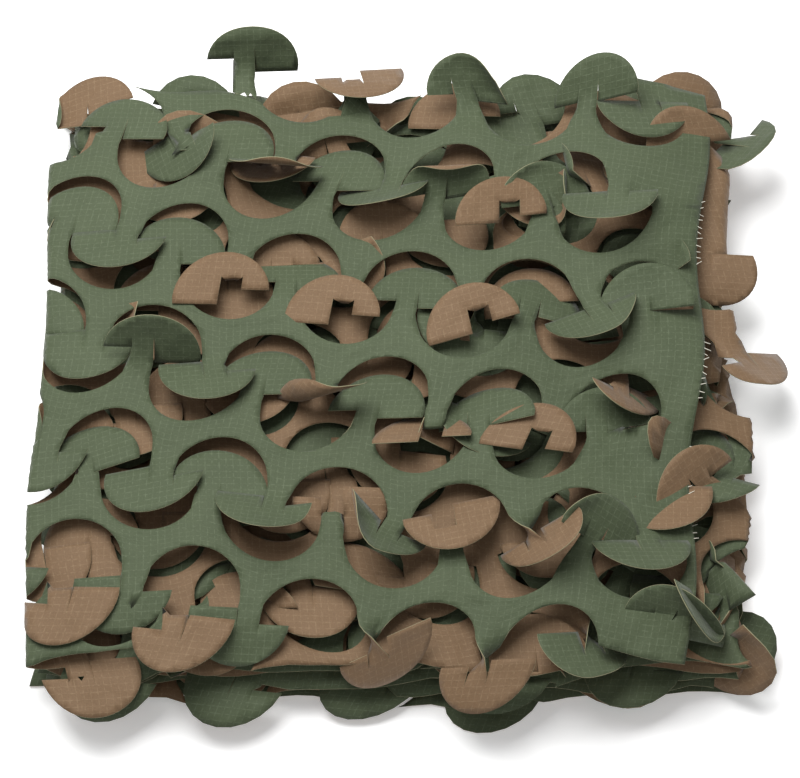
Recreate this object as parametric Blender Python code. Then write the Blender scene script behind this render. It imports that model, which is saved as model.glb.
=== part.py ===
"""Die-cut ripstop camouflage net, folded back and forth into a flat square bundle.

One sheet runs to and fro in nine runs. Its folds stand at the left and the right, its long cut edges
are at the front and the back, and its free end lies on top at the right. The cut leaves are modelled
where they leave the bundle, and the openings where they go through the top run.
"""

import math

import bmesh
import bpy
from mathutils import Vector

# Cloth and stack, in metres
RUNS = 9
THICK = 0.003
# Height of each run's middle above the bottom run's: pressed close below, loose on top
LEVELS = (0.0, 0.0064, 0.0128, 0.0192, 0.0257, 0.0323, 0.0390, 0.0465, 0.0590)
RUN_STEPS = 8
TOP_STEPS = 16
FOLD_STEPS = 4
CROSS_STEPS = 12
HALF_LENGTH = 0.262
HALF_DEPTH = 0.228

# The die: discs of one size, in rows that lean a little against the cloth
HOLE_RADIUS = 0.0345
HOLE_SIDES = 20

# Run by run from the floor up: where the front and back cut edges lie
EDGES = (
    # front, back, wave phase
    (-0.219, 0.214, 0.0),
    (-0.213, 0.221, 1.3),
    (-0.217, 0.216, 2.9),
    (-0.210, 0.223, 4.0),
    (-0.216, 0.217, 5.1),
    (-0.209, 0.224, 0.7),
    (-0.214, 0.219, 2.2),
    (-0.211, 0.226, 3.6),
    (-0.217, 0.230, 4.6),
)
EDGE_WAVE = 0.003

# Folds from the floor up, each joining a run to the next: how far out it lies
FOLDS = (
    # reach, wave height, wave phase
    (0.236, 0.004, 0.4),
    (0.256, 0.003, 1.9),
    (0.242, 0.005, 3.1),
    (0.260, 0.003, 4.4),
    (0.233, 0.004, 5.2),
    (0.257, 0.003, 0.9),
    (0.244, 0.006, 2.4),
    (0.267, 0.003, 3.7),
)
FOLD_WAVE = 0.045
BOTTOM_END = 0.250
SELVEDGE = 0.213
SELVEDGE_SKEW = 0.075

# Loose rises of the upper runs
RISES = (
    # x, y, height, radius
    (0.160, 0.160, 0.020, 0.060),
    (0.185, 0.030, 0.012, 0.055),
    (0.120, -0.150, 0.011, 0.060),
    (0.050, 0.190, 0.012, 0.050),
    (-0.150, 0.190, 0.006, 0.050),
    (0.080, 0.040, 0.006, 0.060),
    (-0.020, -0.180, 0.006, 0.050),
    (-0.120, -0.040, 0.004, 0.080),
)
RISE_SHARE = {RUNS - 1: 1.0, RUNS - 2: 0.45, RUNS - 3: 0.15}

# Rows of openings that show in the top run, from the back to the front
HOLE_ROWS = (
    # x of the first, y of the first, step along x, drop along y, how many
    (-0.150, 0.187, 0.080, -0.0150, 4),
    (-0.208, 0.111, 0.0815, -0.0205, 5),
    (-0.189, 0.024, 0.0865, -0.0190, 5),
    (-0.203, -0.066, 0.0885, -0.0270, 4),
    (-0.215, -0.152, 0.0900, -0.0130, 2),
)

# Leaves that stand or hang clear of the bundle
LEAVES = (
    # run, x, y, heading, length, half width, slope at root, slope at tip
    (8, -0.187, 0.224, 86.0, 0.036, 0.026, 25.0, 80.0),
    (8, -0.128, 0.224, 92.0, 0.060, 0.028, 25.0, 72.0),
    (8, -0.045, 0.222, 80.0, 0.034, 0.026, 20.0, 70.0),
    (8, 0.024, 0.220, 95.0, 0.042, 0.027, 40.0, 85.0),
    (8, 0.084, 0.218, 84.0, 0.046, 0.025, 45.0, 95.0),
    (8, 0.142, 0.208, 82.0, 0.074, 0.028, 56.0, 50.0),
    (8, 0.186, 0.165, 25.0, 0.066, 0.024, 34.0, 8.0),
    (7, 0.225, 0.098, 8.0, 0.040, 0.026, 14.0, -12.0),
    (7, 0.228, 0.020, 2.0, 0.052, 0.022, 16.0, 2.0),
    (7, 0.222, -0.052, -8.0, 0.044, 0.027, 10.0, -24.0),
    (7, 0.214, -0.122, -4.0, 0.048, 0.023, 6.0, -22.0),
    (7, 0.208, -0.190, -22.0, 0.048, 0.024, 0.0, -30.0),
    (8, -0.212, -0.208, -98.0, 0.044, 0.033, -6.0, -62.0),
    (8, -0.128, -0.208, -92.0, 0.046, 0.035, -6.0, -62.0),
    (8, -0.050, -0.208, -94.0, 0.082, 0.026, -26.0, -58.0),
    (8, 0.032, -0.210, -90.0, 0.046, 0.033, -4.0, -60.0),
    (8, 0.108, -0.210, -86.0, 0.048, 0.033, -6.0, -58.0),
    (8, 0.168, -0.206, -72.0, 0.056, 0.022, -8.0, -56.0),
)
LEAF_THICK = 0.0026
LEAF_PROFILE = (
    # share of the length, share of the half width
    (0.00, 0.60),
    (0.16, 0.42),
    (0.30, 0.34),
    (0.33, 1.00),
    (0.50, 0.97),
    (0.72, 0.80),
    (0.90, 0.50),
    (1.00, 0.22),
)

# Net green, as the sheet's face
FACE_COLOUR = (0.128, 0.176, 0.104, 1.0)
FACE_ROUGHNESS = 0.75


def clear_scene():
    for item in list(bpy.data.objects):
        bpy.data.objects.remove(item, do_unlink=True)


def slump(x, y):
    """Share of its full height that the stack keeps at a place: it sinks towards its sides."""
    side = abs(x / HALF_LENGTH) ** 4
    end = abs(y / HALF_DEPTH) ** 4
    swell = 0.035 * math.sin(19.0 * x + 1.1) * math.cos(16.0 * y - 0.4)
    return 1.02 - 0.13 * side - 0.09 * end + swell


def rise(x, y):
    """Height by which the loose upper cloth stands off the stack."""
    total = 0.0
    for centre_x, centre_y, height, radius in RISES:
        spread = ((x - centre_x) ** 2 + (y - centre_y) ** 2) / radius**2
        total += height * math.exp(-spread)
    return total


def height(run, x, y):
    """Middle of the sheet's thickness on one run. The bottom run lies flat."""
    return THICK / 2 + LEVELS[run] * slump(x, y) + RISE_SHARE.get(run, 0.0) * rise(x, y)


def fold_reach(fold, y):
    reach, wave, phase = FOLDS[fold]
    return reach + wave * math.sin(y / FOLD_WAVE + phase)


def run_end(run, side, y):
    """Signed x where a run's flat part ends, on the right (+1) or the left (-1)."""
    going_right = run % 2 == 0
    fold = run if (side > 0) == going_right else run - 1
    if fold < 0:
        return -BOTTOM_END
    if fold >= len(FOLDS):
        return SELVEDGE + SELVEDGE_SKEW * (y - 0.05)
    lower = min(fold, run)
    x = side * fold_reach(fold, y)
    radius = (height(lower + 1, x, y) - height(lower, x, y)) / 2
    return x - side * radius


def edge_y(run, share, x):
    """Depth of a point that lies a share of the way from a run's front edge to its back edge."""
    front, back, phase = EDGES[run]
    wave = EDGE_WAVE * math.sin(x / 0.05 + phase)
    return front + wave + share * (back - front + EDGE_WAVE * math.cos(x / 0.07 + phase) - wave)


def run_row(run, step, steps):
    """Points across the cloth at one step along a run."""
    start = -1 if run % 2 == 0 else 1
    row = []
    for cross in range(CROSS_STEPS + 1):
        share = cross / CROSS_STEPS
        y = edge_y(run, share, 0.0)
        first, last = run_end(run, start, y), run_end(run, -start, y)
        x = first + (last - first) * step / steps
        y = edge_y(run, share, x)
        row.append(Vector((x, y, height(run, x, y))))
    return row


def fold_row(below, above, side, turn):
    """Points across the cloth part way round a fold, between the ends of two runs."""
    row = []
    for low, high in zip(below, above):
        radius = (high.z - low.z) / 2
        middle = low.lerp(high, 0.5 - 0.5 * math.cos(turn))
        x = middle.x + side * radius * math.sin(turn)
        row.append(Vector((x, middle.y, (low.z + high.z) / 2 - radius * math.cos(turn))))
    return row


def sheet_rows():
    """The whole sheet from its bottom end to its top end, as rows of points across it."""
    rows = []
    for run in range(RUNS):
        steps = TOP_STEPS if run == RUNS - 1 else RUN_STEPS
        current = [run_row(run, step, steps) for step in range(steps + 1)]
        if rows:
            side = 1 if run % 2 else -1
            below, above = rows[-1], current[0]
            turns = [math.pi * n / FOLD_STEPS for n in range(1, FOLD_STEPS)]
            rows += [fold_row(below, above, side, turn) for turn in turns]
        rows += current
    return rows


def make_object(name, build):
    shape = bmesh.new()
    build(shape)
    bmesh.ops.recalc_face_normals(shape, faces=shape.faces)
    mesh = bpy.data.meshes.new(name)
    shape.to_mesh(mesh)
    shape.free()
    made = bpy.data.objects.new(name, mesh)
    bpy.context.collection.objects.link(made)
    return made


def build_sheet(shape):
    rows = [[shape.verts.new(point) for point in row] for row in sheet_rows()]
    for low, high in zip(rows, rows[1:]):
        for n in range(CROSS_STEPS):
            shape.faces.new((low[n], low[n + 1], high[n + 1], high[n]))


def hole_centres():
    for x, y, step, drop, count in HOLE_ROWS:
        for n in range(count):
            yield x + n * step, y + n * drop


def build_punches(shape):
    """A punch for each opening. Its lower face follows the middle of the gap under the top run."""
    top = RUNS - 1
    for centre_x, centre_y in hole_centres():
        rings = []
        for lift in (0.0, 1.0):
            ring = []
            for n in range(HOLE_SIDES):
                turn = 2 * math.pi * n / HOLE_SIDES
                x = centre_x + HOLE_RADIUS * math.cos(turn)
                y = centre_y + HOLE_RADIUS * math.sin(turn)
                gap = (height(top, x, y) + height(top - 1, x, y)) / 2
                ring.append(shape.verts.new((x, y, gap + lift * 0.02)))
            rings.append(ring)
        for ring, lift in zip(rings, (0.0, 1.0)):
            gap = (height(top, centre_x, centre_y) + height(top - 1, centre_x, centre_y)) / 2
            middle = shape.verts.new((centre_x, centre_y, gap + lift * 0.02))
            for n in range(HOLE_SIDES):
                shape.faces.new((ring[n], ring[(n + 1) % HOLE_SIDES], middle))
        for n in range(HOLE_SIDES):
            after = (n + 1) % HOLE_SIDES
            shape.faces.new((rings[0][n], rings[0][after], rings[1][after], rings[1][n]))


def leaf_sections(run, x, y, heading, length, half_width, root_slope, tip_slope):
    """Four corners of the leaf's cross section at each share of its length."""
    turn = math.radians(heading)
    out = Vector((math.cos(turn), math.sin(turn), 0.0))
    across = Vector((-out.y, out.x, 0.0))
    place = Vector((x, y, height(run, x, y)))
    sections, before = [], 0.0
    for share, width in LEAF_PROFILE:
        slope = math.radians(root_slope + (tip_slope - root_slope) * (share + before) / 2)
        along = out * math.cos(slope) + Vector((0.0, 0.0, math.sin(slope)))
        place = place + along * length * (share - before)
        place.z = max(place.z, LEAF_THICK / 2)
        normal = along.cross(across).normalized() * LEAF_THICK / 2
        side = across * half_width * width
        sections.append([place + a * side + b * normal for a, b in ((-1, -1), (1, -1), (1, 1), (-1, 1))])
        before = share
    return sections


def build_leaves(shape):
    for row in LEAVES:
        rings = [[shape.verts.new(p) for p in ring] for ring in leaf_sections(*row)]
        shape.faces.new(rings[0])
        shape.faces.new(rings[-1])
        for low, high in zip(rings, rings[1:]):
            for n in range(4):
                after = (n + 1) % 4
                shape.faces.new((low[n], low[after], high[after], high[n]))


def apply_boolean(target, tool, operation):
    modifier = target.modifiers.new(tool.name, "BOOLEAN")
    modifier.operation = operation
    modifier.solver = "EXACT"
    modifier.use_self = True
    modifier.object = tool
    tool.hide_render = True
    tool.display_type = "WIRE"


def cloth_material():
    material = bpy.data.materials.new("net_cloth")
    material.use_nodes = True
    surface = material.node_tree.nodes["Principled BSDF"]
    surface.inputs["Base Color"].default_value = FACE_COLOUR
    surface.inputs["Roughness"].default_value = FACE_ROUGHNESS
    surface.inputs["Metallic"].default_value = 0.0
    return material


def settle(target):
    """Freezes the modifiers, then moves the net so that it stands on the floor about the origin."""
    graph = bpy.context.evaluated_depsgraph_get()
    mesh = bpy.data.meshes.new_from_object(target.evaluated_get(graph), depsgraph=graph)
    target.modifiers.clear()
    target.data = mesh
    lows = [min(v.co[axis] for v in mesh.vertices) for axis in range(3)]
    highs = [max(v.co[axis] for v in mesh.vertices) for axis in range(3)]
    shift = Vector((-(lows[0] + highs[0]) / 2, -(lows[1] + highs[1]) / 2, -lows[2]))
    for vertex in mesh.vertices:
        vertex.co += shift
    print("net moved by", [round(value, 5) for value in shift])


def build_net():
    net = make_object("net", build_sheet)
    thicken = net.modifiers.new("thickness", "SOLIDIFY")
    thicken.thickness = THICK
    thicken.offset = 0.0
    punches = make_object("opening_cutter", build_punches)
    leaves = make_object("leaf_cutter", build_leaves)
    apply_boolean(net, punches, "DIFFERENCE")
    apply_boolean(net, leaves, "UNION")
    settle(net)
    net.data.materials.clear()
    net.data.materials.append(cloth_material())
    for tool in (punches, leaves):
        bpy.data.objects.remove(tool, do_unlink=True)


clear_scene()
build_net()
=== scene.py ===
"""Die-cut camouflage net, folded back and forth into a flat bundle.

One ripstop sheet, green on its face and brown on its back, is meshed flat with its rows of die cuts,
then laid on the folds of the solid. Every cut leaf bends, twists and curls on its own stem.
"""

from __future__ import annotations

import logging
import math
from dataclasses import dataclass, field, replace
from enum import Enum

import bmesh
import bpy
import numpy as np
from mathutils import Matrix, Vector
from mathutils.geometry import delaunay_2d_cdt

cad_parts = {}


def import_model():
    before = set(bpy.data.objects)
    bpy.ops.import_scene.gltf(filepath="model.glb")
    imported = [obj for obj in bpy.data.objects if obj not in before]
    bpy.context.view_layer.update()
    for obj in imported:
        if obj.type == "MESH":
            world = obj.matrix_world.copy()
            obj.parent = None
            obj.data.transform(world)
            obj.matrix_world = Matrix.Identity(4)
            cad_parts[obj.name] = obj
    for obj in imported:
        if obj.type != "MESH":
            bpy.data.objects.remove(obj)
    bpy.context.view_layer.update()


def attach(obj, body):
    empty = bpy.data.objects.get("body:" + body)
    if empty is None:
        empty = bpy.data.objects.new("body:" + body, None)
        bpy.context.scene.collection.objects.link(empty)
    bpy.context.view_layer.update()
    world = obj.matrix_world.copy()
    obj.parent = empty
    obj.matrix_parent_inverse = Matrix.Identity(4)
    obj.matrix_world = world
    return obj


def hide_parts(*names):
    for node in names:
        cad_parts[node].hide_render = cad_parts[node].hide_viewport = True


log = logging.getLogger("net")

MM = 0.001
TINY = 1e-6


def smooth(value: np.ndarray) -> np.ndarray:
    """Eases a share from 0 to 1.

    Args:
        value: Shares, which may lie outside 0 to 1.

    Returns:
        The eased shares, held between 0 and 1.
    """
    held = np.clip(value, 0.0, 1.0)
    return held * held * (3.0 - 2.0 * held)


def eased(place: float, start: float, over: float) -> float:
    """Eases from 0 at a place to 1 some way past it.

    Args:
        place: Where it is read.
        start: Where it starts to grow.
        over: Distance over which it grows.

    Returns:
        The eased share.
    """
    return float(smooth(np.array((place - start) / over)))


def linear(hex_colour: str) -> tuple[float, float, float, float]:
    """Turns an sRGB hex colour into linear light.

    Args:
        hex_colour: Colour such as "#67755A".

    Returns:
        Linear red, green, blue and an alpha of 1.
    """
    parts = [int(hex_colour[n : n + 2], 16) / 255 for n in (1, 3, 5)]
    made = [p / 12.92 if p <= 0.04045 else ((p + 0.055) / 1.055) ** 2.4 for p in parts]
    return made[0], made[1], made[2], 1.0


@dataclass(frozen=True)
class Ripple:
    """A soft unevenness made of a few crossing waves."""

    seed: int
    length: float

    def __call__(self, x: np.ndarray, y: np.ndarray) -> np.ndarray:
        """Reads the ripple.

        Args:
            x: Places along X in metres.
            y: Places along Y in metres.

        Returns:
            Values of about -1 to 1.
        """
        rng = np.random.default_rng(self.seed)
        total = np.zeros(np.broadcast(x, y).shape)
        for _ in range(6):
            turn, phase = rng.uniform(0, math.tau, 2)
            scale = math.tau / (self.length * rng.uniform(0.7, 1.6))
            total += np.sin(scale * (x * math.cos(turn) + y * math.sin(turn)) + phase)
        return total / 3.0


@dataclass
class FoldedStack:
    """The folds that the sheet lies on: nine runs, to and fro, from the floor up."""

    shift: tuple[float, float, float] = (-0.00398, 0.00271, 0.0)
    thick: float = 0.003
    half_length: float = 0.262
    half_depth: float = 0.228
    bottom_end: float = 0.250
    selvedge: float = 0.213
    selvedge_skew: float = 0.075
    selvedge_middle: float = 0.05
    selvedge_wave: float = 0.004
    selvedge_wave_length: float = 0.028
    edge_wave: float = 0.003
    # wave lengths over tau of the front and back edges
    edge_lengths: tuple[float, float] = (0.05, 0.07)
    fold_wave: float = 0.045
    droop_sides: float = 0.13
    droop_ends: float = 0.09
    swell_height: float = 0.035
    swell_waves: tuple[float, float] = (19.0, 16.0)
    full_height: float = 1.02
    rough_length: float = 0.13
    least_rough: float = 0.5 * MM
    # how much rougher the right side is than the left, and where that starts
    left_rough: float = 0.8
    right_rougher: float = 2.4
    rough_from: float = -0.02
    rough_over: float = 0.18
    front: float = -0.217
    back: float = 0.230
    past_folds: float = 0.28
    # height of each run's middle above the bottom run's
    levels: tuple[float, ...] = (0.0, 0.0064, 0.0128, 0.0192, 0.0257, 0.0323, 0.0390, 0.0458, 0.0590)
    # front edge, back edge, wave phase of each run
    edges: tuple[tuple[float, float, float], ...] = (
        (-0.219, 0.214, 0.0),
        (-0.213, 0.221, 1.3),
        (-0.217, 0.216, 2.9),
        (-0.210, 0.223, 4.0),
        (-0.216, 0.217, 5.1),
        (-0.209, 0.224, 0.7),
        (-0.214, 0.219, 2.2),
        (-0.211, 0.226, 3.6),
        (-0.217, 0.230, 4.6),
    )
    # reach, wave height, wave phase of each fold
    folds: tuple[tuple[float, float, float], ...] = (
        (0.236, 0.004, 0.4),
        (0.256, 0.003, 1.9),
        (0.242, 0.005, 3.1),
        (0.260, 0.003, 4.4),
        (0.233, 0.004, 5.2),
        (0.257, 0.003, 0.9),
        (0.244, 0.006, 2.4),
        (0.267, 0.003, 3.7),
    )
    # x, y, height, radius of each loose rise
    rises: tuple[tuple[float, float, float, float], ...] = (
        (0.160, 0.160, 0.020, 0.060),
        (0.185, 0.030, 0.012, 0.055),
        (0.120, -0.150, 0.011, 0.060),
        (0.050, 0.190, 0.012, 0.050),
        (-0.150, 0.190, 0.006, 0.050),
        (0.080, 0.040, 0.006, 0.060),
        (-0.020, -0.180, 0.006, 0.050),
        (-0.120, -0.040, 0.004, 0.080),
    )
    rise_share: dict[int, float] = field(default_factory=lambda: {8: 1.0, 7: 0.45, 6: 0.15})
    ripple_height: dict[int, float] = field(default_factory=lambda: {8: 1.6 * MM, 7: 1.6 * MM, 6: 0.8 * MM})

    @property
    def top(self) -> int:
        """Number of the top run."""
        return len(self.levels) - 1

    def height(self, run: int, x: np.ndarray, y: np.ndarray) -> np.ndarray:
        """Height of one run's cloth.

        Args:
            run: Run, counted from the floor.
            x: Places along X.
            y: Places along Y.

        Returns:
            Heights in metres.
        """
        wave_x, wave_y = self.swell_waves
        swell = self.swell_height * np.sin(wave_x * x + 1.1) * np.cos(wave_y * y - 0.4)
        side = np.abs(np.clip(x / self.half_length, -1.1, 1.1)) ** 4
        end = np.abs(np.clip(y / self.half_depth, -1.1, 1.1)) ** 4
        share_high = self.full_height - self.droop_sides * side - self.droop_ends * end + swell
        z = self.thick / 2 + self.levels[run] * share_high
        share = self.rise_share.get(run, 0.0)
        for centre_x, centre_y, high, radius in self.rises if share else ():
            z = z + share * high * np.exp(-((x - centre_x) ** 2 + (y - centre_y) ** 2) / radius**2)
        if run == 0:
            return z
        rough = self.ripple_height.get(run, self.least_rough)
        loose = self.left_rough + self.right_rougher * smooth((x - self.rough_from) / self.rough_over)
        return z + rough * loose * Ripple(run + 3, self.rough_length)(x, y)

    def run_end(self, run: int, side: int, y: np.ndarray) -> np.ndarray:
        """Where a run's flat part ends.

        Args:
            run: Run, counted from the floor.
            side: 1 for the right, -1 for the left.
            y: Places along Y.

        Returns:
            Places along X.
        """
        fold = run if (side > 0) == (run % 2 == 0) else run - 1
        if fold < 0:
            return np.full_like(y, -self.bottom_end)
        if fold >= len(self.folds):
            slack = self.selvedge_wave * np.sin(y / self.selvedge_wave_length + 0.8)
            return self.selvedge + self.selvedge_skew * (y - self.selvedge_middle) + slack
        reach, wave, phase = self.folds[fold]
        x = side * (reach + wave * np.sin(y / self.fold_wave + phase))
        low = min(fold, run)
        return x - side * (self.height(low + 1, x, y) - self.height(low, x, y)) / 2

    def edge_y(self, run: int, share: np.ndarray, x: np.ndarray) -> np.ndarray:
        """Depth of points a share of the way from a run's front edge to its back edge.

        Args:
            run: Run, counted from the floor.
            share: Shares of the cloth's width.
            x: Places along X.

        Returns:
            Places along Y.
        """
        front, back, phase = self.edges[run]
        front_length, back_length = self.edge_lengths
        front_wave = self.edge_wave * np.sin(x / front_length + phase)
        back_wave = self.edge_wave * np.cos(x / back_length + phase)
        return front + front_wave + share * (back - front + back_wave - front_wave)

    def length(self) -> float:
        """Length of the whole sheet along its folds, at mid width."""
        middle = np.zeros(1)
        total = 0.0
        for run in range(self.top, -1, -1):
            total += float(abs(self.run_end(run, 1, middle) - self.run_end(run, -1, middle))[0])
            if run:
                total += math.pi / 2 * float(self.levels[run] - self.levels[run - 1])
        return total

    def place(self, along: np.ndarray, across: np.ndarray) -> tuple[np.ndarray, np.ndarray]:
        """Lays flat cloth on the folds.

        Args:
            along: Distance from the top run's free end, in metres.
            across: Distance across the cloth, in the top run's own Y.

        Returns:
            Points, one row each, and the run that each lies on.
        """
        share = (across - self.front) / (self.back - self.front)
        points = np.zeros((len(along), 3))
        runs = np.full(len(along), -1)
        left = along.copy()
        for run in range(self.top, -1, -1):
            start = 1 if run % 2 == 0 else -1
            level_y = self.edge_y(run, share, np.zeros_like(share))
            first, last = self.run_end(run, start, level_y), self.run_end(run, -start, level_y)
            span = np.abs(last - first)
            here = (runs < 0) & ((left < span) | (run == 0))
            x = first - start * left
            y = self.edge_y(run, share, x)
            z = self.height(run, np.clip(x, -self.past_folds, self.past_folds), y)
            points[here] = np.stack([x, y, z], axis=1)[here]
            runs[here] = run
            left = left - span
            if run == 0:
                break
            high_y = self.edge_y(run, share, last)
            low_y = self.edge_y(run - 1, share, last)
            high, low = self.height(run, last, high_y), self.height(run - 1, last, low_y)
            radius = (high - low) / 2
            bend = math.pi * np.maximum(radius, TINY)
            here = (runs < 0) & (left < bend)
            turn = left / np.maximum(radius, TINY)
            mix = 0.5 - 0.5 * np.cos(turn)
            fold = np.stack(
                [
                    last - start * radius * np.sin(turn),
                    high_y + (low_y - high_y) * mix,
                    (high + low) / 2 + radius * np.cos(turn),
                ],
                axis=1,
            )
            points[here] = fold[here]
            runs[here] = run
            left = left - bend
        return points + np.array(self.shift), runs

    def frame(self, along: np.ndarray, across: np.ndarray) -> tuple[np.ndarray, ...]:
        """Directions of the laid cloth.

        Args:
            along: Distance from the top run's free end.
            across: Distance across the cloth.

        Returns:
            Unit rows towards the free end, across the cloth, and out of its green face.
        """
        step = 1.0 * MM
        near, far = self.place(along - step, across)[0], self.place(along + step, across)[0]
        low, high = self.place(along, across - step)[0], self.place(along, across + step)[0]
        to_end, to_back = unit(near - far), unit(high - low)
        return to_end, to_back, unit(np.cross(to_end, to_back))


def unit(rows: np.ndarray) -> np.ndarray:
    """Scales rows to unit length.

    Args:
        rows: One vector a row.

    Returns:
        The unit rows.
    """
    return rows / np.maximum(np.linalg.norm(rows, axis=1, keepdims=True), 1e-12)


# Added to a row's number and a side's sign, so that no seed is below zero
ROW_SEED = 40
SIDE_SEED = 5
# Points of the flat pattern nearer than this are one point
MERGE = 1e-5
# Least height of the cloth's middle
FLOOR_GAP = 0.8 * MM
# Share of a cap's radius up to which the stem's flare follows it
ALMOST = 0.99

# A leaf's middle line: how far it is worked out, in how many steps, and the length of a sharp fold
PAST_TIP = 0.05
TABLE_STEPS = 160
FOLD_LENGTH = 5.0 * MM
# Most that a curl rolls, in radians
MOST_ROLL = 4.0
# Distances from a leaf's centre or neck within which points can belong to it
NEAR_CAP = 0.08
NEAR_NECK = 0.075
# How far past its neck a stem still takes web points
STEM_END = 8.0 * MM

# The pull that opens the cuts fades over this reach, and counts as held off behind a cap's straight edge
GAPE_REACH = 0.04
GAPE_BEHIND = 4.0 * MM
GAPE_HELD = 0.02
LEAST_GAP = 1e-4

# Length of a leaf with its stem, and how far out its tip or its root leaves the bundle
LEAF_REACH = 0.06
EDGE_Y = 0.235
RIGHT_X = 0.19
# Leaves lie on the left folds' curve up to here, and leave it over this distance
FREE_FROM = -0.225
FREE_OVER = 0.045
# Leaves from this run up leave their run's curve, and on the others those this near to a long end
FREE_RUN = 6
FREE_EDGE = 0.05
# Share of its bend that a leaf has at the left folds, and where and over what that grows to the whole
LEFT_BEND = 0.12
BEND_FROM = -0.245
BEND_OVER = 0.05
# A leaf beside uncut cloth keeps this share of its bend, and leans no more than this many degrees
HELD_BEND = 0.3
HELD_LEAN = 4
# The cloth is loose to the right of the first place and behind the second
LOOSE_X = -0.02
LOOSE_OVER_X = 0.14
LOOSE_Y = 0.17
LOOSE_OVER_Y = 0.07
# From this looseness on, some leaves lie turned over by this many degrees
LOOSE_ENOUGH = 0.35
TURNED_OVER = 165.0
CURL_HEADINGS = (0.0, 180.0, 60.0, 120.0, 90.0)


class Side(Enum):
    """Which way a leaf points from its row's line: to the back or to the front."""

    BACK = 1
    FRONT = -1


@dataclass
class Pose:
    """How one leaf bends. Angles are in degrees and lengths in metres."""

    bend: float = 0.0
    cap_bend: float = 0.0
    flip: float = 0.0
    fold_at: float = 0.0105
    twist: float = 0.0
    lean: float = 0.0
    curl_heading: float = 0.0
    curl_start: float = 0.02
    curl_radius: float = 0.0
    cut: bool = True


@dataclass
class Leaf:
    """One cut leaf: a half-disc cap on a short stem."""

    side: Side
    column: int
    row: int
    neck: np.ndarray
    centre: np.ndarray
    left_level: float
    right_level: float
    pose: Pose = field(default_factory=Pose)

    def local(self, flat: np.ndarray) -> np.ndarray:
        """Flat points seen from the leaf's neck, with its tip ahead.

        Args:
            flat: Flat points, one row each.

        Returns:
            Points as sideways and ahead distances.
        """
        return (flat - self.neck) * self.side.value


@dataclass
class Die:
    """Rows of the die. The cloth's flat frame has X towards the free end and Y to the back."""

    radius: float = 0.0354
    first_x: float = -0.149
    first_y: float = 0.1907
    step: float = 0.085
    row_shift: float = -0.0187
    row_step: float = -0.0894
    slope: float = -0.298
    bow: float = 0.445
    neck_half: float = 0.007905
    slit: float = 0.013
    stem: float = 0.024
    # shares of a step: where the stems and caps start and end
    stem_right: float = 0.023
    cap_right: float = 0.407
    cap_left: float = 0.593
    stem_left: float = 0.837

    @property
    def hinge(self) -> float:
        """Distance ahead of the neck where the cap's slits end."""
        return self.slit + 3.0 * MM

    def line(self, place: float, row: int) -> np.ndarray:
        """A point on a row's line.

        Args:
            place: Column, which may be a fraction.
            row: Row, counted to the front.

        Returns:
            Flat point.
        """
        x = self.first_x + self.step * place + self.row_shift * row
        ahead = max(0.0, x - self.first_x)
        y = self.first_y + self.row_step * row + self.slope * (x - self.first_x) + self.bow * ahead**2
        return np.array([x, y])

    def corners(self, column: int, row: int) -> dict[str, np.ndarray]:
        """The four corners of the cut beside one column, on its two level steps.

        Args:
            column: Column of the leaf that points back.
            row: Row.

        Returns:
            Named flat points.
        """
        near = self.line(column + (self.stem_right + self.cap_right) / 2, row)[1]
        far = self.line(column + (self.cap_left + self.stem_left) / 2, row)[1]
        levels = {"stem_right": near, "cap_right": near, "cap_left": far, "stem_left": far}
        return {
            name: np.array([self.line(column + getattr(self, name), row)[0], level])
            for name, level in levels.items()
        }

    def leaf(self, side: Side, column: int, row: int) -> Leaf:
        """Builds one leaf's outline.

        Args:
            side: Way it points.
            column: Column.
            row: Row.

        Returns:
            The leaf.
        """
        here, before = self.corners(column, row), self.corners(column - 1, row)
        if side is Side.BACK:
            left, right = before["cap_left"], here["cap_right"]
            neck = (before["stem_left"] + here["stem_right"]) / 2
        else:
            left, right = here["stem_left"], here["stem_right"]
            neck = (here["cap_right"] + here["cap_left"]) / 2
        return Leaf(side, column, row, neck, (left + right) / 2, left[1], right[1])

    def in_cap(self, leaf: Leaf, flat: np.ndarray) -> np.ndarray:
        """Tells which flat points lie in a leaf's cap.

        Args:
            leaf: The leaf.
            flat: Flat points.

        Returns:
            A flag for each.
        """
        sign = leaf.side.value
        gap = flat - leaf.centre
        inside = (gap**2).sum(axis=1) < self.radius**2
        before_neck = (flat[:, 0] - leaf.neck[0]) * sign < 0
        level = np.where(before_neck, leaf.left_level, leaf.right_level)
        return inside & ((flat[:, 1] - level) * sign > 0)

    def arc(self, leaf: Leaf, steps: int) -> list[np.ndarray]:
        """The cap's round edge, from its left corner to its right corner as seen from the neck.

        Args:
            leaf: The leaf.
            steps: Number of straight steps.

        Returns:
            Flat points.
        """
        sign = leaf.side.value
        width = self.cap_right - self.cap_left + 1.0
        left = np.array([leaf.centre[0] - sign * self.step * width / 2, leaf.left_level])
        right = np.array([leaf.centre[0] + sign * self.step * width / 2, leaf.right_level])
        start = math.atan2(*(left - leaf.centre)[::-1])
        end = math.atan2(*(right - leaf.centre)[::-1])
        while end > start:
            end -= math.tau
        points = [left]
        for n in range(1, steps):
            turn = start + (end - start) * n / steps
            points.append(leaf.centre + self.radius * np.array([math.cos(turn), math.sin(turn)]))
        return points + [right]


@dataclass(frozen=True)
class Weave:
    """Mesh fineness along the cloth, in metres: finer over the first stretch from the free end."""

    fine_length: float = 1.02
    show: float = 0.0048
    hidden: float = 0.0108
    arc_show: int = 22
    arc_hidden: int = 11
    fine_edge_length: float = 1.0
    edge_show: float = 0.006
    edge_hidden: float = 0.012
    end_steps: int = 70
    on_lines: float = 0.003
    past_edges: float = 0.04
    # shares of the gap between loose points
    row_gap: float = 0.866
    jitter: float = 0.12
    clear: float = 0.55


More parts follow.
